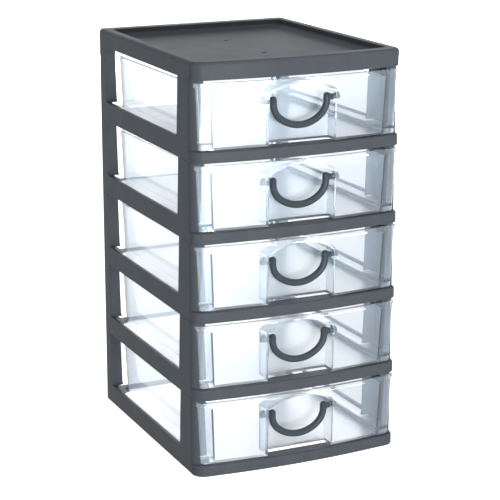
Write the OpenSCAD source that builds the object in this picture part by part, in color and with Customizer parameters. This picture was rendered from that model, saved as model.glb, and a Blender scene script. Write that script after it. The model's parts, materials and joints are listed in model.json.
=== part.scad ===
// Desktop drawer tower for small crafts and parts.
// X runs across the front, the drawers open towards -Y and Z is up.
// The origin is the middle of the footprint, on the table.
// Each level is one frame moulding that plugs into the ring of the level above.

/* [Tower] */
// Width across the front corners
front_w = 180; // [165:1:220]
// Width across the back corners
back_w = 174; // [160:1:180]
// Depth from the crown of the bowed front to the back
depth = 217; // [190:1:260]
// How far the crown of the front stands ahead of its corners
front_bow = 6.5; // [3:0.5:8]
// Radius of the two front corners
front_corner_r = 10; // [6:0.5:13]
// Radius of the two back corners
back_corner_r = 4.5; // [4:0.5:8]
// Number of drawer levels
levels = 5; // [2:1:7]
// Height of one level
level_h = 63.5; // [58:0.5:80]

/* [Frame moulding] */
// Wall of the frame mouldings and the cover
wall = 2; // [1.6:0.1:2.4]
// Height of the side rails
side_rail_h = 16.4; // [15.8:0.1:19]
// Height of the front and back rails
end_rail_h = 9; // [8:0.1:9.2]
// Rounding of the top edge of those rails
rail_edge_r = 1.6; // [0.8:0.1:2]
// Thickness of the webs, ledges and skirts inside the ring
web_t = 1.8; // [1.4:0.1:2.2]
// Depth of the front rail at the crown
front_rail_d = 12.5; // [12:0.5:16]
// Depth of the back rail
back_rail_d = 10; // [8:0.5:13]
// Height of the ledges that the drawer wings run on
ledge_z = 13.3; // [12.9:0.1:14]
// Width of a ledge at the back
ledge_w = 10; // [8.5:0.5:12]

/* [Posts] */
// Front face of the front posts behind the crown of the front
post_setback = 10.5; // [10:0.1:12.5]
// Depth of the front posts
front_post_d = 29; // [22:0.5:36]
// Depth of the back posts
back_post_d = 15; // [12:0.5:20]
// Radius of the front posts' outer corner
post_corner_r = 8; // [5:0.5:9.5]
// How far each window edge leans over its height
window_draft = 2.5; // [0.5:0.25:3]
// Radius of the windows' lower corners
window_corner_r = 3; // [1:0.5:5]
// Width of the front posts' front flange at its foot
flange_w = 10.8; // [9.5:0.1:11.2]
// Width of the back posts' return at its foot
return_w = 11; // [9:0.5:12]
// How much narrower flange and return are at the top
lip_draft = 1.8; // [0.5:0.1:2.5]
// Height of the tongues that plug into the level above
tongue_h = 6; // [4:0.5:8]
// Thickness of the tongues
tongue_t = 1.8; // [1.4:0.1:2]
// Clearance of a tongue inside the wall above
tongue_gap = 0.2; // [0.1:0.05:0.4]

/* [Cover] */
// Height of the cover's rim
cover_h = 14; // [12:0.5:18]
// Rounding of the rim's outer top edge
cover_edge_r = 3; // [1.5:0.25:3.5]
// Width of the rim along the sides
rim_side = 8.5; // [6:0.5:11]
// Extra width of the rim at the front and the back
rim_end_extra = 3.5; // [1:0.5:5]
// Radius of the tray's corners
tray_corner_r = 4; // [3:0.5:6]
// Upright part of the tray's wall
tray_drop = 4; // [2:0.25:5]
// Height of the slope below it
tray_slope_h = 2.5; // [1:0.25:3]
// Width of the slope
tray_slope_w = 7; // [3:0.5:10]
// Thickness of the tray's floor
tray_t = 2; // [1.6:0.1:2.4]

/* [Drawer] */
// Wall of the clear drawers
drawer_wall = 1.6; // [1.2:0.1:1.8]
// Front panel behind the face of the front rail, at its top
panel_setback = 1; // [0.8:0.1:1.4]
// How far the panel leans in towards its foot
panel_draft = 2.1; // [1:0.1:2.5]
// Height of the bead along the panel's top edge
bead_h = 3; // [2:0.5:5]
// How far the bead stands proud of the panel
bead_t = 0.9; // [0.4:0.1:1]
// Gap between the front rail and the drawer above it
drawer_lift = 0.6; // [0.4:0.1:0.8]
// Gap between the front panel and the rail above it
panel_gap = 2; // [1:0.1:3]
// Height of the drawer's side and back walls
box_h = 46; // [30:0.5:48]
// Gap between the drawer's sides and the ledges
side_gap = 2.4; // [1.8:0.1:3]
// How far the drawer's walls lean out towards their top
box_draft = 2; // [1:0.1:2.2]
// Gap between the drawer's back and the tower's back
back_gap = 18.5; // [16:0.5:30]
// Radius of the box's upright corners
box_corner_r = 5; // [2.5:0.5:9]
// Radius of the rounded edge between floor and walls
box_edge_r = 3; // [2:0.5:4]
// Gap between the wings and the outer wall at the back
wing_gap = 0.5; // [0.4:0.1:1]
// Running gap under and before the wings
slide_gap = 0.3; // [0.2:0.05:0.4]
// Distance from the drawer's back to the wings' rear ends
wing_back = 18; // [10:1:40]
// Radius of the wings' rear corners
wing_r = 6; // [3:0.5:8]

/* [Finger recess] */
// Width of the recess
recess_w = 57.2; // [50:0.2:70]
// Depth of the recess at the crown
recess_d = 16; // [15:0.5:18]
// Height of the recess's sides above the level's base
recess_side_h = 49; // [46:0.5:50]
// Rise of the arched roof
recess_rise = 8.5; // [6:0.5:9]

/* [Handle] */
// Height of the hinge above the level's base
hinge_h = 43.5; // [42:0.5:44]
// Hinge behind the crown of the front
hinge_setback = 7.4; // [7.2:0.1:7.8]
// Diameter of the handle's bar
bar_d = 5.6; // [4.5:0.1:6]
// Gap between the handle's arms and the recess
arm_gap = 2.8; // [2.2:0.1:3.5]
// Drop of the bar's middle below the hinge
bail_drop = 20; // [19:0.5:20.5]
// Straight length of the arms below the hinge
arm_h = 2; // [1:0.5:3]
// Straight length of the arms above the hinge
arm_top = 1; // [0.5:0.5:2]
// Radius of the bends between the arms and the wide arc below
bend_r = 15; // [12:0.5:15.5]
// Diameter of the hinge pins
pin_d = 3; // [2.5:0.1:3.4]
// Diametral clearance of the pins
pin_clearance = 0.16; // [0.1:0.02:0.18]
// Diameter of the bosses beside the arms
boss_d = 4.8; // [4:0.1:5.2]
// Play between the handle and the recess walls
end_play = 0.3; // [0.2:0.05:0.4]
// Length of the snap heads
head_l = 3.4; // [2:0.2:4]
// Rise of the snap heads above the hinge
head_rise = 4.2; // [3:0.2:4.4]
// Width of the snap heads from front to back
head_w = 3.8; // [3.4:0.2:4]

/* [Hidden] */
eps = 0.01;
far = 400;
frame_grey = [0.30, 0.31, 0.33];
handle_grey = [0.22, 0.24, 0.26];
clear_blue = [0.86, 0.91, 0.95, 0.45];

LEVELS = [1 : levels];

crown_y = -depth / 2;
back_y = depth / 2;
bow_r = (pow(front_w / 2, 2) + pow(front_bow, 2)) / (2 * front_bow);
bow_center_y = crown_y + bow_r;
front_center_x = front_w / 2 - front_corner_r;
front_center = [front_center_x,
    bow_center_y - sqrt(pow(bow_r - front_corner_r, 2) - pow(front_center_x, 2))];
back_center = [back_w / 2 - back_corner_r, back_y - back_corner_r];
// Direction in which the right side faces, and where the bow meets the corner
side_run = back_center - front_center;
side_a = atan2(side_run[1], side_run[0]) - acos((front_corner_r - back_corner_r) / norm(side_run));
bow_end_a = atan2(front_center[1] - bow_center_y, front_center[0]);
bow_half = bow_r * cos(bow_end_a);
bow_steps = 6;
corner_steps = 7;
back_corner_steps = 4;

post_y = crown_y + post_setback;
side_n = [cos(side_a), sin(side_a)];
post_center_y = post_y + post_corner_r;
post_center = [(side_n * front_center + front_corner_r - post_corner_r - side_n[1] * post_center_y)
    / side_n[0], post_center_y];
rail_rear_y = crown_y + front_rail_d;
back_rail_y = back_y - back_rail_d;
window_front_y = post_y + front_post_d;
window_back_y = back_y - back_post_d;
well_half = back_w / 2 - ledge_w;

cover_z = levels * level_h;
top_z = cover_z + cover_h;
tray_floor_z = top_z - tray_drop - tray_slope_h;

floor_z = end_rail_h + drawer_lift;
panel_top = level_h - panel_gap;
box_half = well_half - side_gap;
box_back_y = back_y - back_gap;
wing_z = ledge_z + slide_gap;
wing_half = back_w / 2 - wall - wing_gap;
wing_slot_half = wing_half + wing_gap;
wing_back_y = box_back_y - wing_back;
panel_rear_y = post_y - slide_gap;
recess_back_y = crown_y + recess_d;

hinge_y = crown_y + hinge_setback;
arm_half = recess_w / 2 - arm_gap - bar_d / 2;
pin_r = pin_d / 2;
bore_r = (pin_d + pin_clearance) / 2;
bar_r = bar_d / 2;

// The bail's centre line runs down an arm, round a bend and along one wide arc
bail_rise = bail_drop - arm_h;
bend_x = arm_half - bend_r;
bottom_r = (pow(bend_x, 2) + pow(bail_rise, 2) - pow(bend_r, 2)) / (2 * (bail_rise - bend_r));
bend_a = atan2(bottom_r - bail_rise, bend_x);
bar_sides = 16;
// Rings of the bail's right half as [x, z, heading, radius], from the domed end to the middle
half_rings = concat(
    [for (a = [70 : -23 : 0]) [arm_half, arm_top + bar_r * sin(a), -90, bar_r * cos(a)]],
    arc_rings([bend_x, -arm_h], bend_r, 0, -bend_a, 5),
    arc_rings([0, bottom_r - bail_drop], bottom_r, -bend_a - 7, -90, 4));

function bow_y(x) = bow_center_y - sqrt(bow_r * bow_r - x * x);
function arc(center, r, from, to, steps) =
    [for (i = [0 : steps]) let (a = from + (to - from) * i / steps) center + r * [cos(a), sin(a)]];
function both_halves(right) =
    concat(right, [for (i = [len(right) - 1 : -1 : 0]) if (right[i][0] > eps) [-right[i][0], right[i][1]]]);

module mirrored() {
    children();
    mirror([1, 0, 0]) children();
}

// A rectangle given by its corners
module zone(x0, y0, x1, y1) {
    translate([x0, y0]) square([x1 - x0, y1 - y0]);
}

// A profile drawn as (y, z), carried along x from x0 to x1
module along_x(x0, x1) {
    translate([x0, 0, 0]) rotate([90, 0, 90]) linear_extrude(x1 - x0) children();
}

// A profile drawn as (x, z), carried along y from y0 to y1
module along_y(y0, y1) {
    translate([0, y1, 0]) rotate([90, 0, 0]) linear_extrude(y1 - y0) children();
}

module prism(z0, z1) {
    translate([0, 0, z0]) linear_extrude(z1 - z0) children();
}

// ---- Plan of the tower ----

// Outer plan: bowed front, sides that close in slightly, rounded corners
module plan() {
    polygon(both_halves(concat(
        [for (i = [0 : bow_steps - 1]) let (x = bow_half * i / bow_steps) [x, bow_y(x)]],
        arc(front_center, front_corner_r, bow_end_a, side_a, corner_steps),
        arc(back_center, back_corner_r, side_a, 90, back_corner_steps))));
}

// Plan of the posts: as the tower's, but cut straight in front
module post_plan() {
    polygon(both_halves(concat(
        arc(post_center, post_corner_r, -90, side_a, corner_steps),
        arc(back_center, back_corner_r, side_a, 90, back_corner_steps))));
}

module inside(t) {
    offset(delta = -t) children();
}

module outside_well() {
    mirrored() zone(well_half, -far, far, far);
}

// ---- Frame moulding ----

// Front and back rails with a rounded top edge
module rail_block() {
    hull() {
        prism(0, end_rail_h - rail_edge_r) plan();
        for (a = [22.5 : 22.5 : 90])
            translate([0, 0, end_rail_h - rail_edge_r + rail_edge_r * sin(a) - eps])
                linear_extrude(eps) inside(rail_edge_r * (1 - cos(a))) plan();
    }
}

module ring() {
    difference() {
        union() {
            rail_block();
            prism(0, ledge_z) intersection() {
                post_plan();
                outside_well();
            }
        }
        // The well that the drawer hangs in
        prism(-1, far) zone(-well_half, rail_rear_y, well_half, back_rail_y);
        // The underside is hollow: it takes the tongues of the level below
        prism(-1, ledge_z - web_t) intersection() {
            inside(wall) post_plan();
            mirrored() zone(well_half + web_t, -far, far, far);
        }
        prism(-1, end_rail_h - web_t) difference() {
            inside(wall) plan();
            zone(-far, rail_rear_y - web_t, far, back_rail_y + web_t);
        }
    }
}

// The window between the posts, as (y, z)
module window_shape(grow = 0) {
    lean = window_draft / 2;
    polygon(concat(
        [[window_front_y - lean - grow, far / 2], [window_front_y - lean - grow, level_h]],
        arc([window_front_y + lean + window_corner_r - grow, side_rail_h + window_corner_r - grow],
            window_corner_r, 180, 270, 6),
        arc([window_back_y - lean - window_corner_r + grow, side_rail_h + window_corner_r - grow],
            window_corner_r, 270, 360, 6),
        [[window_back_y + lean + grow, level_h], [window_back_y + lean + grow, far / 2]]));
}

module side_walls() {
    difference() {
        prism(0, level_h) difference() {
            post_plan();
            inside(wall) post_plan();
            zone(-(well_half - 1), -far, well_half - 1, far);
        }
        mirrored() along_x(well_half - 2, far) window_shape();
        // Front flanges and back returns grow narrower towards the top
        mirrored() along_y(crown_y - 1, window_front_y) lip_cut(front_w / 2 - flange_w);
        mirrored() along_y(window_back_y, far) lip_cut(back_w / 2 - return_w);
        // The wings slide out below the front flanges
        prism(ledge_z, side_rail_h) zone(-wing_slot_half, crown_y, wing_slot_half, window_front_y);
    }
}

// Everything inward of a flange or return that starts at x = foot, as (x, z)
module lip_cut(foot) {
    polygon([[0, -1], [foot, -1], [foot, side_rail_h], [foot + lip_draft, level_h],
        [foot + lip_draft, far], [0, far]]);
}

// Returns that stiffen the window edges of the posts
module window_returns() {
    intersection() {
        prism(side_rail_h, level_h) inside(wall / 2) post_plan();
        mirrored() along_x(well_half + tongue_gap, far) difference() {
            window_shape(wall);
            window_shape();
        }
    }
}

module tongues() {
    clear = wall + tongue_gap;
    difference() {
        union() {
            prism(level_h - tongue_h, level_h) tongue_plan(wall - 0.5);
            prism(level_h - tongue_h, level_h + tongue_h) tongue_plan(clear);
        }
        mirrored() along_x(well_half - 2, far) window_shape();
    }
}

module tongue_plan(from) {
    intersection() {
        difference() {
            inside(from) post_plan();
            inside(wall + tongue_gap + tongue_t) post_plan();
        }
        mirrored() zone(well_half + web_t + 2 * tongue_gap, -far, far, far);
        union() {
            zone(-far, post_y, far, window_front_y - window_draft);
            zone(-far, window_back_y + window_draft, far, back_y);
        }
    }
}

module frame_module(i) {
    color(frame_grey) translate([0, 0, (i - 1) * level_h]) {
        ring();
        side_walls();
        window_returns();
        tongues();
    }
}

// ---- Cover ----

module tray_plan() {
    offset(r = tray_corner_r) offset(delta = -tray_corner_r) intersection() {
        inside(rim_side) plan();
        translate([0, rim_end_extra]) inside(rim_side) plan();
        translate([0, -rim_end_extra]) inside(rim_side) plan();
    }
}

module top_cover() {
    color(frame_grey) difference() {
        hull() {
            prism(cover_z, top_z - cover_edge_r) plan();
            for (a = [18 : 18 : 90])
                translate([0, 0, top_z - cover_edge_r + cover_edge_r * sin(a) - eps])
                    linear_extrude(eps) inside(cover_edge_r * (1 - cos(a))) plan();
        }
        hull() {
            prism(top_z - tray_drop, top_z + 1) tray_plan();
            prism(tray_floor_z, tray_floor_z + eps) inside(tray_slope_w) tray_plan();
        }
        // The underside is hollow round the tray's own floor and wall
        difference() {
            prism(-1, top_z - wall) inside(wall) plan();
            prism(tray_floor_z - tray_t, far) offset(delta = wall) tray_plan();
        }
    }
}

// ---- Drawer ----

// How far the panel's face is behind the rail's face at a height
function panel_inset(z) = panel_setback + panel_draft * (panel_top - z) / (panel_top - floor_z);

// Everything behind the panel's leaning face, or t behind it
module behind_panel(t = 0) {
    hull() for (z = [floor_z - panel_gap, panel_top + panel_gap])
        prism(z, z + eps) inside(panel_inset(z) + t) plan();
}

// Front panel: a bowed wall that wraps round the front corners, with a bead along its top edge
module panel() {
    difference() {
        union() {
            intersection() {
                behind_panel();
                prism(floor_z, panel_top) zone(-far, -far, far, panel_rear_y);
            }
            prism(panel_top - bead_h, panel_top) intersection() {
                inside(panel_setback - bead_t) plan();
                zone(-far, -far, far, panel_rear_y);
            }
        }
        behind_panel(drawer_wall);
    }
}

// Arched recess, as (x, z)
module recess_shape(grow = 0) {
    half = recess_w / 2;
    r = (half * half + recess_rise * recess_rise) / (2 * recess_rise);
    spring = asin(half / r);
    offset(delta = grow) polygon(concat(
        [[-half, -2 * grow], [half, -2 * grow]],
        arc([0, recess_side_h + recess_rise - r], r, 90 - spring, 90 + spring, 16)));
}

// Plan of the box, which runs on ahead of the panel
module box_plan() {
    offset(r = box_corner_r) offset(delta = -box_corner_r)
        zone(-box_half, crown_y - 3 * box_corner_r, box_half, box_back_y);
}

// Floor, sides and back, whose walls lean out; the front panel closes the box
module box() {
    intersection() {
        difference() {
            hull() {
                for (a = [0 : 30 : 90])
                    translate([0, 0, floor_z + box_edge_r * (1 - cos(a))])
                        linear_extrude(eps) inside(box_edge_r * (1 - sin(a))) box_plan();
                prism(floor_z + box_h - eps, floor_z + box_h) inside(-box_draft) box_plan();
            }
            hull() {
                prism(floor_z + drawer_wall, floor_z + 2 * drawer_wall) inside(drawer_wall) box_plan();
                prism(floor_z + box_h, floor_z + box_h + 1) inside(drawer_wall - box_draft) box_plan();
            }
        }
        behind_panel(drawer_wall / 2);
    }
}

// Wings that run on the ledges, and in front a strip that ties them to the panel
module wings() {
    prism(wing_z, wing_z + drawer_wall) difference() {
        union() {
            offset(r = wing_r) offset(delta = -wing_r)
                zone(-wing_half, crown_y - 3 * wing_r, wing_half, wing_back_y);
            intersection() {
                inside(panel_inset(wing_z) + drawer_wall / 2) plan();
                zone(-far, -far, far, panel_rear_y);
            }
        }
        zone(-box_half + drawer_wall / 2, -far, box_half - drawer_wall / 2, far);
        zone(-far, -far, far, panel_rear_y - drawer_wall);
    }
}

module drawer(i) {
    color(clear_blue) translate([0, 0, (i - 1) * level_h]) difference() {
        union() {
            panel();
            box();
            wings();
            intersection() {
                behind_panel(drawer_wall / 2);
                prism(floor_z, panel_top) zone(-far, crown_y, far, recess_back_y + drawer_wall);
                along_y(crown_y, far) recess_shape(drawer_wall);
            }
        }
        along_y(crown_y - 1, recess_back_y) recess_shape();
        // Bores for the handle's pins
        translate([0, hinge_y, hinge_h]) rotate([0, 90, 0])
            cylinder(h = recess_w + 4 * drawer_wall, r = bore_r, center = true, $fn = 48);
    }
}

// ---- Handle ----

function arc_rings(center, r, from, to, steps) =
    [for (i = [0 : steps]) let (a = from + (to - from) * i / steps)
        [center[0] + r * cos(a), center[1] + r * sin(a), a - 90, bar_r]];

function ring_points(ring) =
    [for (k = [0 : bar_sides - 1]) let (a = 360 * k / bar_sides)
        [ring[0] - ring[3] * cos(a) * sin(ring[2]), ring[3] * sin(a),
            ring[1] + ring[3] * cos(a) * cos(ring[2])]];

// The bail: one round bar swept along its centre line
module bail() {
    n = len(half_rings);
    rings = concat(half_rings,
        [for (i = [n - 2 : -1 : 0]) let (q = half_rings[i]) [-q[0], q[1], -q[2], q[3]]]);
    last = len(rings) - 1;
    polyhedron(
        points = [for (q = rings) each ring_points(q)],
        faces = concat(
            [[for (k = [bar_sides - 1 : -1 : 0]) k]],
            [for (i = [0 : last - 1], k = [0 : bar_sides - 1])
                let (next = (k + 1) % bar_sides, low = i * bar_sides, high = low + bar_sides)
                    [low + k, low + next, high + next, high + k]],
            [[for (k = [0 : bar_sides - 1]) last * bar_sides + k]]));
}

module hinge_end() {
    wall_in = recess_w / 2;
    wall_out = wall_in + drawer_wall;
    head_x = wall_out + end_play;
    rotate([0, 90, 0]) translate([0, 0, arm_half])
        cylinder(h = wall_in - end_play - arm_half, r = boss_d / 2, $fn = 32);
    rotate([0, 90, 0]) translate([0, 0, arm_half])
        cylinder(h = head_x + head_l / 2 - arm_half, r = pin_r, $fn = 32);
    // Snap head: half a dome, flat below, that springs through the bore
    along_y(-head_w / 2, head_w / 2) polygon(concat([[head_x, -pin_r]],
        [for (i = [0 : 8]) let (a = 90 - (90 + asin(pin_r / head_rise)) * i / 8)
            [head_x + head_l * cos(a), head_rise * sin(a)]]));
}

module handle(i) {
    color(handle_grey) translate([0, hinge_y, (i - 1) * level_h + hinge_h]) {
        bail();
        mirrored() hinge_end();
    }
}

for (i = LEVELS) frame_module(i);
top_cover();
for (i = LEVELS) drawer(i);
for (i = LEVELS) handle(i);
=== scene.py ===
"""A desktop drawer tower: five clear drawers with bail handles in a stack of grey frame mouldings."""
import json
import math

import bmesh
import bpy
import numpy as np
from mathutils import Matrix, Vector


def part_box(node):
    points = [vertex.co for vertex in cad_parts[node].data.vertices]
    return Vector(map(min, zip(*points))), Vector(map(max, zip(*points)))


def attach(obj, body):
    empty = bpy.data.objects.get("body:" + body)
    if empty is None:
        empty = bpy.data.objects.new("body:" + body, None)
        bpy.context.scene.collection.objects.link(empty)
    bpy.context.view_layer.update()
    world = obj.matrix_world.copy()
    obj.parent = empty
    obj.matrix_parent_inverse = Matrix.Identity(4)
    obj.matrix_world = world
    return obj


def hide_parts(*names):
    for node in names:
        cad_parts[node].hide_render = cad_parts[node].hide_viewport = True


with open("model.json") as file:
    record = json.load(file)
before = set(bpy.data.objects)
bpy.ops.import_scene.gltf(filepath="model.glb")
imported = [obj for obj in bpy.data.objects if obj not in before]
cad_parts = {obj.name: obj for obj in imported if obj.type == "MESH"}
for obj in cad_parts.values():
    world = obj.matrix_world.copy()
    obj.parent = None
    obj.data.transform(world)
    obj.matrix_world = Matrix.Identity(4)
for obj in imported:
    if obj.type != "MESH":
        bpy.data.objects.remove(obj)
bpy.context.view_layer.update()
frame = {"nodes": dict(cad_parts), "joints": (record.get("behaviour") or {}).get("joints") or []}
MM = 0.001


# ---- Frame mouldings ----
# Each level is one grey polypropylene moulding: a ring with four posts on it, whose tongues plug
# into the ring above. It comes out of the tool with satin faces and slightly softened edges.

FRAME_EDGE = 0.45 * MM
SHARP_ANGLE = math.radians(28)
FLAT_ANGLE = math.radians(0.4)
WELD_DISTANCE = 2e-6
FRAME_GREY = (0.066, 0.0745, 0.085)


def finish_edges(piece, width):
    """Rounds the edges that turn more than SHARP_ANGLE, and lets each flat field keep its own
    normal right up to its rounded edges."""
    soft = piece.modifiers.new("soft edges", "BEVEL")
    soft.width = width
    soft.segments = 2
    soft.limit_method = "ANGLE"
    soft.angle_limit = SHARP_ANGLE
    soft.offset_type = "ABSOLUTE"
    soft.use_clamp_overlap = False
    flat = piece.modifiers.new("flat fields", "WEIGHTED_NORMAL")
    flat.weight = 100
    flat.keep_sharp = True


def moulded_copy(node, name, edge):
    """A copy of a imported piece: its triangles are joined, flat fields are merged into single faces,
    edges that turn more than SHARP_ANGLE get a small round, and the rest is shaded smooth."""
    mesh = frame["nodes"][node].data.copy()
    mesh.materials.clear()
    work = bmesh.new()
    work.from_mesh(mesh)
    bmesh.ops.remove_doubles(work, verts=work.verts, dist=WELD_DISTANCE)
    bmesh.ops.dissolve_limit(work, angle_limit=FLAT_ANGLE, verts=work.verts, edges=work.edges)
    for face in work.faces:
        face.smooth = True
    for line in work.edges:
        line.smooth = line.calc_face_angle(0.0) < SHARP_ANGLE
    work.to_mesh(mesh)
    work.free()
    piece = bpy.data.objects.new(name, mesh)
    bpy.context.scene.collection.objects.link(piece)
    finish_edges(piece, edge)
    return piece


def new_material(name):
    """An empty node material with its output node."""
    material = bpy.data.materials.new(name)
    material.use_nodes = True
    material.node_tree.nodes.clear()
    nodes, links = material.node_tree.nodes, material.node_tree.links
    return material, nodes, links, nodes.new("ShaderNodeOutputMaterial")


def moulded_plastic(name, colour, roughness, streaks, gloss):
    """Satin moulded plastic: a faint flow pattern drawn out upwards in the colour, a slow drift in
    the roughness and the fine grain of the tool's surface as a bump."""
    material, nodes, links, output = new_material(name)
    place = nodes.new("ShaderNodeTexCoord")
    drawn_out = nodes.new("ShaderNodeMapping")
    drawn_out.inputs["Scale"].default_value = (1.0, 1.0, 0.12)
    flow = nodes.new("ShaderNodeTexNoise")
    flow.inputs["Scale"].default_value = 55.0
    flow.inputs["Detail"].default_value = 3.0
    tone = nodes.new("ShaderNodeValToRGB")
    tone.color_ramp.elements[0].position = 0.25
    tone.color_ramp.elements[1].position = 0.75
    tone.color_ramp.elements[0].color = [c * (1 - streaks) for c in colour] + [1]
    tone.color_ramp.elements[1].color = [c * (1 + streaks) for c in colour] + [1]
    drift = nodes.new("ShaderNodeTexNoise")
    drift.inputs["Scale"].default_value = 30.0
    satin = nodes.new("ShaderNodeMapRange")
    satin.inputs["To Min"].default_value = roughness - 0.05
    satin.inputs["To Max"].default_value = roughness + 0.05
    grain = nodes.new("ShaderNodeTexNoise")
    grain.inputs["Scale"].default_value = 2600.0
    grain.inputs["Detail"].default_value = 1.0
    bump = nodes.new("ShaderNodeBump")
    bump.inputs["Strength"].default_value = 0.12
    bump.inputs["Distance"].default_value = 0.05 * MM
    plastic = nodes.new("ShaderNodeBsdfPrincipled")
    plastic.inputs["Specular IOR Level"].default_value = gloss
    links.new(place.outputs["Object"], drawn_out.inputs["Vector"])
    links.new(drawn_out.outputs["Vector"], flow.inputs["Vector"])
    links.new(flow.outputs["Fac"], tone.inputs["Fac"])
    links.new(tone.outputs["Color"], plastic.inputs["Base Color"])
    links.new(place.outputs["Object"], drift.inputs["Vector"])
    links.new(drift.outputs["Fac"], satin.inputs["Value"])
    links.new(satin.outputs["Result"], plastic.inputs["Roughness"])
    links.new(place.outputs["Object"], grain.inputs["Vector"])
    links.new(grain.outputs["Fac"], bump.inputs["Height"])
    links.new(bump.outputs["Normal"], plastic.inputs["Normal"])
    links.new(plastic.outputs["BSDF"], output.inputs["Surface"])
    return material


frame_grey = moulded_plastic("frame_plastic", FRAME_GREY, roughness=0.34, streaks=0.07, gloss=0.04)
levels = sum(node.startswith("frame_module_") for node in frame["nodes"])

for level in range(1, levels + 1):
    node = f"frame_module_{level}"
    moulding = moulded_copy(node, f"frame_moulding_{level}", FRAME_EDGE)
    moulding.data.materials.append(frame_grey)
    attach(moulding, "frame")
    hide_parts(node)


# ---- Cover ----
# The cover is a grey moulding of 2 mm wall on the top posts' tongues: a rim with a rounded outer
# edge round a shallow tray, whose floor ends in a slope. Two gate marks stand on the tray's floor.

cover_low, cover_high = [np.array(corner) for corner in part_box("top_cover")]
COVER_WALL = 2.0 * MM
FRONT_HALF = cover_high[0]
BACK_HALF = 87.0 * MM
FRONT_BOW = 6.5 * MM
FRONT_CORNER_R = 10.0 * MM
BACK_CORNER_R = 4.5 * MM
RIM_EDGE_R = 3.0 * MM
RIM_SIDE = 8.5 * MM
RIM_ENDS = 12.0 * MM
RIM_LIP_R = 0.7 * MM
TRAY_CORNER_R = 4.0 * MM
TRAY_CORNER_MIN = 0.8 * MM
OUTER_CORNER_MIN = 1.0 * MM
TRAY_DROP = 4.0 * MM
TRAY_SLOPE_H = 2.5 * MM
TRAY_SLOPE_W = 7.0 * MM
COVER_EDGE = 0.3 * MM
BOW_POINTS = 25
CORNER_POINTS = 13
RIM_EDGE_POINTS = 9
RIM_LIP_POINTS = 5

crown_y, back_y, top_z = cover_low[1], cover_high[1], cover_high[2]
bow_r = (FRONT_HALF ** 2 + FRONT_BOW ** 2) / (2 * FRONT_BOW)
bow_center = np.array([0.0, crown_y + bow_r])


def bow_meets(corner_r, radius, side_distance):
    """Centre of a corner circle that touches a side line and, from inside, the bow's circle: it is
    side_distance - corner_r out along the side's normal, and radius - corner_r from the bow's centre."""
    out = side_normal * (side_distance - corner_r) - bow_center
    along = out @ side_run
    return bow_center + out - side_run * (
        along + math.sqrt(along ** 2 - out @ out + (radius - corner_r) ** 2))


front_center_x = FRONT_HALF - FRONT_CORNER_R
front_center = np.array([front_center_x, bow_center[1] - math.sqrt(
    (bow_r - FRONT_CORNER_R) ** 2 - front_center_x ** 2)])
back_center = np.array([BACK_HALF - BACK_CORNER_R, back_y - BACK_CORNER_R])
between = back_center - front_center
side_angle = math.atan2(between[1], between[0]) - math.acos(
    (FRONT_CORNER_R - BACK_CORNER_R) / np.linalg.norm(between))
side_normal = np.array([math.cos(side_angle), math.sin(side_angle)])
side_run = np.array([-side_normal[1], side_normal[0]])
side_distance = front_center @ side_normal + FRONT_CORNER_R


def plan_loop(at_sides, at_ends, front_r, back_r):
    """The tower's outline moved in by at_sides and at_ends, as one closed loop of points: the bow's
    arc, an arc at the front corner, the straight side and an arc at the back corner, then mirrored."""
    radius, distance = bow_r - at_ends, side_distance - at_sides
    front = bow_meets(front_r, radius, distance)
    back_center_y = back_y - at_ends - back_r
    back = side_normal * (distance - back_r)
    back = back + side_run * (back_center_y - back[1]) / side_run[1]
    bow_end = math.atan2(*(front - bow_center)[::-1])
    arcs = [(bow_center, radius, -math.pi / 2, bow_end, BOW_POINTS),
            (front, front_r, bow_end, side_angle, CORNER_POINTS),
            (back, back_r, side_angle, math.pi / 2, CORNER_POINTS)]
    turns = [(center, r, np.linspace(start, end, count)) for center, r, start, end, count in arcs]
    turns[0] = (bow_center, radius, turns[0][2][:-1])
    half = np.vstack([center + r * np.stack([np.cos(a), np.sin(a)], 1) for center, r, a in turns])
    return np.vstack([half, half[:0:-1] * (-1, 1)])


def outer_ring(inset, z):
    """The outline moved in evenly by inset, at a height."""
    front_r = max(FRONT_CORNER_R - inset, OUTER_CORNER_MIN)
    back_r = max(BACK_CORNER_R - inset, OUTER_CORNER_MIN)
    loop = plan_loop(inset, inset, front_r, back_r)
    return np.column_stack([loop, np.full(len(loop), z)])


def tray_ring(inset, z):
    """The tray's outline moved in evenly by inset, at a height. A negative inset lies in the rim."""
    corner = max(TRAY_CORNER_R - inset, TRAY_CORNER_MIN)
    loop = plan_loop(RIM_SIDE + inset, RIM_ENDS + inset, corner, corner)
    return np.column_stack([loop, np.full(len(loop), z)])


def skin_between(rings, name):
    """A closed shell through rings of equally many points: a row of four-sided faces between each
    two rings, and one flat face across the first and the last."""
    count, size = len(rings), len(rings[0])
    here = np.arange(size)
    after = np.roll(here, -1)
    low = (np.arange(count - 1) * size)[:, None]
    faces = np.stack([low + here, low + after, low + size + after, low + size + here], 2)
    faces = faces.reshape(-1, 4).tolist() + [here[::-1].tolist(), ((count - 1) * size + here).tolist()]
    mesh = bpy.data.meshes.new(name)
    mesh.from_pydata(np.vstack(rings).tolist(), [], faces)
    mesh.shade_smooth()
    shell = bpy.data.objects.new(name, mesh)
    bpy.context.scene.collection.objects.link(shell)
    return shell


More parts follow.
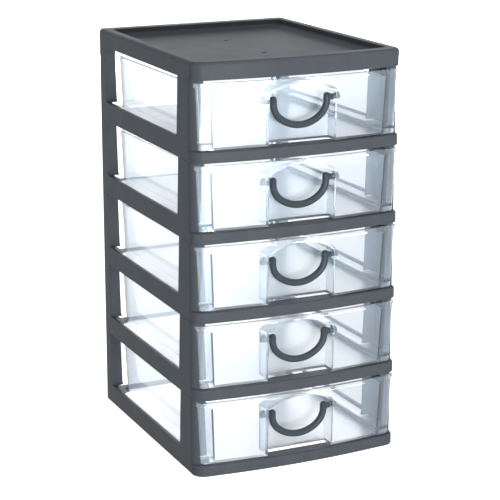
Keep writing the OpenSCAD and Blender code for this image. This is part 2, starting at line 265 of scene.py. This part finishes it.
floor_top = top_z - TRAY_DROP - TRAY_SLOPE_H
quarter = np.linspace(0, math.pi / 2, RIM_EDGE_POINTS)
lip = np.linspace(0, math.pi / 2, RIM_LIP_POINTS)
rings = [tray_ring(-COVER_WALL, floor_top - COVER_WALL), tray_ring(-COVER_WALL, top_z - COVER_WALL),
         outer_ring(COVER_WALL, top_z - COVER_WALL), outer_ring(COVER_WALL, cover_low[2]),
         outer_ring(0, cover_low[2])]
rings += [outer_ring(RIM_EDGE_R * (1 - math.cos(a)), top_z - RIM_EDGE_R * (1 - math.sin(a)))
          for a in quarter]
rings += [tray_ring(-RIM_LIP_R * (1 - math.sin(a)), top_z - RIM_LIP_R * (1 - math.cos(a)))
          for a in lip]
rings += [tray_ring(0, top_z - TRAY_DROP), tray_ring(TRAY_SLOPE_W, floor_top)]
cover = skin_between(rings, "tray_cover")
finish_edges(cover, COVER_EDGE)
cover.data.materials.append(frame_grey)
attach(cover, "frame")
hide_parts("top_cover")

GATE_R = 2.2 * MM
GATE_H = 0.5 * MM
GATE_FROM_MIDDLE = 37.0 * MM
GATE_SIDES = 24


def gate_mark(name, place, radius, height):
    """The low round stub that is left where the plastic was fed in: a turned profile whose rim
    falls off as a quarter ellipse, sunk a little into the face that it stands on."""
    falling = np.linspace(0, math.pi / 2, 6)
    reach = radius * np.concatenate([[1.0], np.cos(falling)[:-1], [0.05]])
    rise = height * np.concatenate([[-1.0], np.sin(falling)[:-1], [1.0]])
    turn = np.linspace(0, 2 * math.pi, GATE_SIDES, endpoint=False)
    circle = np.stack([np.cos(turn), np.sin(turn), np.zeros(GATE_SIDES)], 1)
    return skin_between([np.array(place) + circle * r + (0, 0, z) for r, z in zip(reach, rise)], name)


for name, y in (("tray_gate_mark_front", -GATE_FROM_MIDDLE), ("tray_gate_mark_back", GATE_FROM_MIDDLE)):
    mark = gate_mark(name, (0, y, floor_top), GATE_R, GATE_H)
    mark.data.materials.append(frame_grey)
    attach(mark, "frame")


# ---- Drawers ----
# Each drawer is one clear polystyrene moulding with polished faces, so it shows what is behind it,
# with bright lines along its edges and a cool veil where light scatters in its walls.

DRAWER_EDGE = 0.35 * MM
FLOOR_T = 1.6 * MM
DRAWER_GATE_R = 3.2 * MM
DRAWER_GATE_H = 0.35 * MM
REFRACTION = 1.3
WALL_VEIL = (0.13, (0.70, 0.85, 1.0))
FLOOR_VEIL = (0.8, (0.98, 0.99, 1.0))


def clear_plastic(name, refraction, wall_veil, floor_veil):
    """Clear plastic that bends what is behind it, under a veil of scattered light. A veil is a share
    and a colour: upright walls have the thin wall_veil, and level faces the denser floor_veil.
    Shadow rays pass straight through, so the light gets into the drawers."""
    material, nodes, links, output = new_material(name)
    clear = nodes.new("ShaderNodeBsdfPrincipled")
    clear.inputs["Base Color"].default_value = (1, 1, 1, 1)
    clear.inputs["Roughness"].default_value = 0.02
    clear.inputs["IOR"].default_value = refraction
    clear.inputs["Transmission Weight"].default_value = 1.0
    face = nodes.new("ShaderNodeNewGeometry")
    axes = nodes.new("ShaderNodeSeparateXYZ")
    level_face = nodes.new("ShaderNodeMath")
    level_face.operation = "ABSOLUTE"
    share = nodes.new("ShaderNodeMapRange")
    share.inputs["From Min"].default_value = 0.7
    share.inputs["From Max"].default_value = 0.95
    share.inputs["To Min"].default_value = wall_veil[0]
    share.inputs["To Max"].default_value = floor_veil[0]
    tint = nodes.new("ShaderNodeValToRGB")
    for stop, (place, colour) in zip(tint.color_ramp.elements, (wall_veil, floor_veil)):
        stop.position = place
        stop.color = (*colour, 1)
    veil = nodes.new("ShaderNodeBsdfGlossy")
    veil.inputs["Roughness"].default_value = 0.3
    body = nodes.new("ShaderNodeMixShader")
    let_through = nodes.new("ShaderNodeBsdfTransparent")
    path = nodes.new("ShaderNodeLightPath")
    either = nodes.new("ShaderNodeMixShader")
    links.new(face.outputs["Normal"], axes.inputs["Vector"])
    links.new(axes.outputs["Z"], level_face.inputs[0])
    links.new(level_face.outputs[0], share.inputs["Value"])
    links.new(share.outputs["Result"], tint.inputs["Fac"])
    links.new(share.outputs["Result"], body.inputs["Fac"])
    links.new(tint.outputs["Color"], veil.inputs["Color"])
    links.new(clear.outputs["BSDF"], body.inputs[1])
    links.new(veil.outputs["BSDF"], body.inputs[2])
    links.new(path.outputs["Is Shadow Ray"], either.inputs["Fac"])
    links.new(body.outputs["Shader"], either.inputs[1])
    links.new(let_through.outputs["BSDF"], either.inputs[2])
    links.new(either.outputs["Shader"], output.inputs["Surface"])
    return material


drawer_clear = clear_plastic("drawer_clear", REFRACTION, WALL_VEIL, FLOOR_VEIL)

for level in range(1, levels + 1):
    node = f"drawer_{level}"
    drawer = moulded_copy(node, f"clear_drawer_{level}", DRAWER_EDGE)
    drawer_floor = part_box(node)[0][2] + FLOOR_T
    mark = gate_mark(f"drawer_gate_mark_{level}", (0, 0, drawer_floor), DRAWER_GATE_R, DRAWER_GATE_H)
    for piece in (drawer, mark):
        piece.data.materials.append(drawer_clear)
        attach(piece, node)
    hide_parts(node)


# ---- Handles ----
# A handle is a round dark bar bent to a bail, moulded with the bosses, pins and half-dome heads
# that snap through the walls of the finger recess.

BAR_R = 2.8 * MM
ARM_HALF = 23.0 * MM
ARM_TOP = 1.0 * MM
ARM_LENGTH = 2.0 * MM
BEND_R = 15.0 * MM
BAIL_DROP = 20.0 * MM
BOSS_R = 2.4 * MM
BOSS_FILLET = 1.0 * MM
PIN_R = 1.5 * MM
RECESS_HALF = 28.6 * MM
END_PLAY = 0.3 * MM
HEAD_X = RECESS_HALF + FLOOR_T + END_PLAY
HEAD_L = 3.4 * MM
HEAD_RISE = 4.2 * MM
HEAD_W = 3.8 * MM
HEAD_EDGE_R = 0.35 * MM
HEAD_END_SHARE = 0.86
BOSS_SINK = 0.8 * MM
BOSS_CHAMFER = 0.3 * MM
BAR_SIDES = 28

bend_center = np.array([ARM_HALF - BEND_R, -ARM_LENGTH])
bail_rise = BAIL_DROP - ARM_LENGTH
bottom_r = (bend_center[0] ** 2 + bail_rise ** 2 - BEND_R ** 2) / (2 * (bail_rise - BEND_R))
bottom_center = np.array([0.0, bottom_r - BAIL_DROP])
bend_turn = math.atan2(bottom_r - bail_rise, bend_center[0])


def bail_line():
    """Centre line of the bail as (x, z) with its heading: down an arm, round a bend of BEND_R, along
    one wide arc through the lowest point, and the same mirrored."""
    arm = np.linspace(ARM_TOP, -ARM_LENGTH, 4)[:-1]
    bend = np.linspace(0, -bend_turn, 15)[:-1]
    wide = np.linspace(-bend_turn, -math.pi / 2, 15)
    ways = [np.stack([np.full(len(arm), ARM_HALF), arm, np.full(len(arm), -math.pi / 2)], 1)]
    for center, r, a in ((bend_center, BEND_R, bend), (bottom_center, bottom_r, wide)):
        ways.append(np.stack([center[0] + r * np.cos(a), center[1] + r * np.sin(a), a - math.pi / 2], 1))
    half = np.vstack(ways)
    return np.vstack([half, half[-2::-1] * (-1, 1, -1)])


def swept_bail(hinge):
    """Rings of the round bar along its centre line, square to it, that close in to domes at the ends."""
    line = bail_line()
    dome = np.linspace(math.radians(80), 0, 7)[:-1]
    steps = len(dome)
    lift = np.stack([np.full(steps, ARM_HALF), ARM_TOP + BAR_R * np.sin(dome),
                     np.full(steps, -math.pi / 2)], 1)
    line = np.vstack([lift, line, lift[::-1] * (-1, 1, -1)])
    radius = np.full(len(line), BAR_R)
    radius[:steps] = BAR_R * np.cos(dome)
    radius[-steps:] = radius[steps - 1::-1]
    turn = np.linspace(0, 2 * math.pi, BAR_SIDES, endpoint=False)[None, :]
    x, z, heading = [column[:, None] for column in line.T]
    out = radius[:, None] * np.cos(turn)
    points = np.stack([x - out * np.sin(heading), radius[:, None] * np.sin(turn),
                       z + out * np.cos(heading)], 2)
    return list(points + hinge)


def turned_along_x(hinge, reach, radius):
    """Rings of a shape turned round the hinge's axis, of a radius at each reach from the middle."""
    turn = np.linspace(0, 2 * math.pi, BAR_SIDES, endpoint=False)
    circle = np.stack([np.zeros(BAR_SIDES), np.cos(turn), np.sin(turn)], 1)
    return [np.array(hinge) + circle * r + (x, 0, 0) for x, r in zip(reach, radius)]


def snap_head(hinge, side):
    """Rings of a snap head from front to back: a quarter ellipse over a flat underside, a little
    smaller at both ends, where its edges are rounded."""
    end = HEAD_W / 2
    turn = np.linspace(math.pi / 2, -math.asin(PIN_R / HEAD_RISE), 12)
    outline = np.vstack([[0.0, -PIN_R], np.stack([HEAD_L * np.cos(turn), HEAD_RISE * np.sin(turn)], 1)])
    middle = outline.mean(axis=0)
    rings = []
    for y, shrink in ((-end, HEAD_END_SHARE), (-end + HEAD_EDGE_R, 1),
                      (end - HEAD_EDGE_R, 1), (end, HEAD_END_SHARE)):
        flat = middle + (outline - middle) * shrink
        rings.append(np.array(hinge) + np.column_stack(
            [side * (HEAD_X + flat[:, 0]), np.full(len(flat), y), flat[:, 1]]))
    return rings


def moulded_handle(name, hinge):
    """The bail with its bosses, pins and snap heads, joined into one piece."""
    fillet = np.linspace(0, math.pi / 2, 6)
    boss_end = RECESS_HALF - END_PLAY
    boss_start = ARM_HALF + BAR_R - BOSS_SINK
    reach = np.concatenate([[ARM_HALF], boss_start + BOSS_FILLET * np.sin(fillet),
                            [boss_end - BOSS_CHAMFER, boss_end, boss_end, HEAD_X + HEAD_L / 2]])
    radius = np.concatenate([[BOSS_R + BOSS_FILLET], BOSS_R + BOSS_FILLET * (1 - np.sin(fillet)) ** 1.5,
                             [BOSS_R, BOSS_R - BOSS_CHAMFER, PIN_R, PIN_R]])
    shells = [skin_between(swept_bail(hinge), name)]
    for side in (-1, 1):
        shells.append(skin_between(turned_along_x(hinge, side * reach, radius), f"{name}_pin"))
        shells.append(skin_between(snap_head(hinge, side), f"{name}_head"))
    joined = bmesh.new()
    for shell in shells:
        joined.from_mesh(shell.data)
    bmesh.ops.recalc_face_normals(joined, faces=joined.faces)
    for line in joined.edges:
        line.smooth = line.calc_face_angle(0.0) < SHARP_ANGLE
    joined.to_mesh(shells[0].data)
    joined.free()
    for shell in shells[1:]:
        bpy.data.objects.remove(shell)
    return shells[0]


HANDLE_GREY = (0.042, 0.054, 0.067)
handle_grey = moulded_plastic("handle_plastic", HANDLE_GREY, roughness=0.35, streaks=0.05, gloss=0.15)
hinges = {joint["child"]: joint["pos_m"] for joint in frame["joints"] if joint["type"] == "hinge"}

for level in range(1, levels + 1):
    node = f"handle_{level}"
    handle = moulded_handle(f"bail_handle_{level}", hinges[node])
    handle.data.materials.append(handle_grey)
    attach(handle, node)
    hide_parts(node)


# ---- Table, light and camera ----
# A white table that runs on without an end, two low strip lamps ahead of the drawers and behind
# them that reach no higher than the tray, a faint lamp above, and an even white surround.


def white_ground(name):
    """White ground: plain white in gloss and through the clear plastic, and for what looks at it
    straight a white that keeps the tower's shadow."""
    material, nodes, links, output = new_material(name)
    matt = nodes.new("ShaderNodeBsdfDiffuse")
    matt.inputs["Color"].default_value = (0.9, 0.9, 0.9, 1)
    glow = nodes.new("ShaderNodeEmission")
    glow.inputs["Strength"].default_value = 0.85
    white = nodes.new("ShaderNodeEmission")
    path = nodes.new("ShaderNodeLightPath")
    lifted = nodes.new("ShaderNodeAddShader")
    straight = nodes.new("ShaderNodeMixShader")
    mirrored_or_through = nodes.new("ShaderNodeMath")
    mirrored_or_through.operation = "MAXIMUM"
    seen = nodes.new("ShaderNodeMixShader")
    links.new(matt.outputs["BSDF"], lifted.inputs[0])
    links.new(glow.outputs["Emission"], lifted.inputs[1])
    links.new(path.outputs["Is Camera Ray"], straight.inputs["Fac"])
    links.new(matt.outputs["BSDF"], straight.inputs[1])
    links.new(lifted.outputs["Shader"], straight.inputs[2])
    links.new(path.outputs["Is Glossy Ray"], mirrored_or_through.inputs[0])
    links.new(path.outputs["Is Transmission Ray"], mirrored_or_through.inputs[1])
    links.new(mirrored_or_through.outputs[0], seen.inputs["Fac"])
    links.new(straight.outputs["Shader"], seen.inputs[1])
    links.new(white.outputs["Emission"], seen.inputs[2])
    links.new(seen.outputs["Shader"], output.inputs["Surface"])
    return material


ground_mesh = bpy.data.meshes.new("table")
GROUND_HALF = 6.0
ground_mesh.from_pydata(
    [(-GROUND_HALF, -GROUND_HALF, 0), (GROUND_HALF, -GROUND_HALF, 0),
     (GROUND_HALF, GROUND_HALF, 0), (-GROUND_HALF, GROUND_HALF, 0)], [], [(0, 1, 2, 3)])
ground_mesh.materials.append(white_ground("white_ground"))
ground = bpy.data.objects.new("table", ground_mesh)
bpy.context.scene.collection.objects.link(ground)

surround = bpy.data.worlds.new("surround")
surround.use_nodes = True
world_nodes, world_links = surround.node_tree.nodes, surround.node_tree.links
world_nodes.clear()
world_output = world_nodes.new("ShaderNodeOutputWorld")
lighting = world_nodes.new("ShaderNodeBackground")
lighting.inputs["Color"].default_value = (0.95, 0.975, 1.0, 1)
lighting.inputs["Strength"].default_value = 0.55
backdrop = world_nodes.new("ShaderNodeBackground")
backdrop.inputs["Color"].default_value = (1, 1, 1, 1)
backdrop.inputs["Strength"].default_value = 1.0
world_path = world_nodes.new("ShaderNodeLightPath")
world_seen = world_nodes.new("ShaderNodeMath")
world_seen.operation = "MAXIMUM"
world_shown = world_nodes.new("ShaderNodeMath")
world_shown.operation = "MAXIMUM"
world_mix = world_nodes.new("ShaderNodeMixShader")
world_links.new(world_path.outputs["Is Camera Ray"], world_seen.inputs[0])
world_links.new(world_path.outputs["Is Transmission Ray"], world_seen.inputs[1])
world_links.new(world_seen.outputs[0], world_shown.inputs[0])
world_links.new(world_path.outputs["Is Glossy Ray"], world_shown.inputs[1])
world_links.new(world_shown.outputs[0], world_mix.inputs["Fac"])
world_links.new(lighting.outputs["Background"], world_mix.inputs[1])
world_links.new(backdrop.outputs["Background"], world_mix.inputs[2])
world_links.new(world_mix.outputs["Shader"], world_output.inputs["Surface"])
bpy.context.scene.world = surround


def soft_lamp(name, place, target, width, height, power):
    """An upright rectangular area lamp at a place, turned towards a target."""
    light = bpy.data.lights.new(name, "AREA")
    light.shape = "RECTANGLE"
    light.size = width
    light.size_y = height
    light.energy = power
    lamp = bpy.data.objects.new(name, light)
    bpy.context.scene.collection.objects.link(lamp)
    lamp.location = place
    aim = np.array(target) - np.array(place)
    tilt = math.acos(-aim[2] / np.linalg.norm(aim))
    lamp.rotation_euler = (tilt, 0, math.atan2(aim[1], aim[0]) - math.pi / 2)
    return lamp


soft_lamp("lamp_front", place=(-0.15, -1.7, 0.17), target=(0, 0, 0.17), width=0.9, height=0.3, power=26)
soft_lamp("lamp_above", place=(0.55, -0.35, 1.45), target=(0, 0, 0.3), width=0.25, height=0.25, power=4)
soft_lamp("lamp_back", place=(0.9, 1.9, 0.18), target=(0, 0, 0.18), width=1.4, height=0.3, power=20)

CAMERA_PLACE = (-0.6074, -1.3016, 0.5358)
CAMERA_YAW = math.radians(-25.189)
CAMERA_PITCH = math.radians(-14.939)
SENSOR_WIDTH_MM = 36.0
FOCAL_LENGTH_MM = 127.02
lens = bpy.data.cameras.new("camera")
lens.sensor_width = SENSOR_WIDTH_MM
lens.lens = FOCAL_LENGTH_MM
camera = bpy.data.objects.new("camera", lens)
bpy.context.scene.collection.objects.link(camera)
camera.location = CAMERA_PLACE
camera.rotation_euler = (math.pi / 2 + CAMERA_PITCH, 0, CAMERA_YAW)
bpy.context.scene.camera = camera
bpy.context.scene.view_settings.view_transform = "Standard"
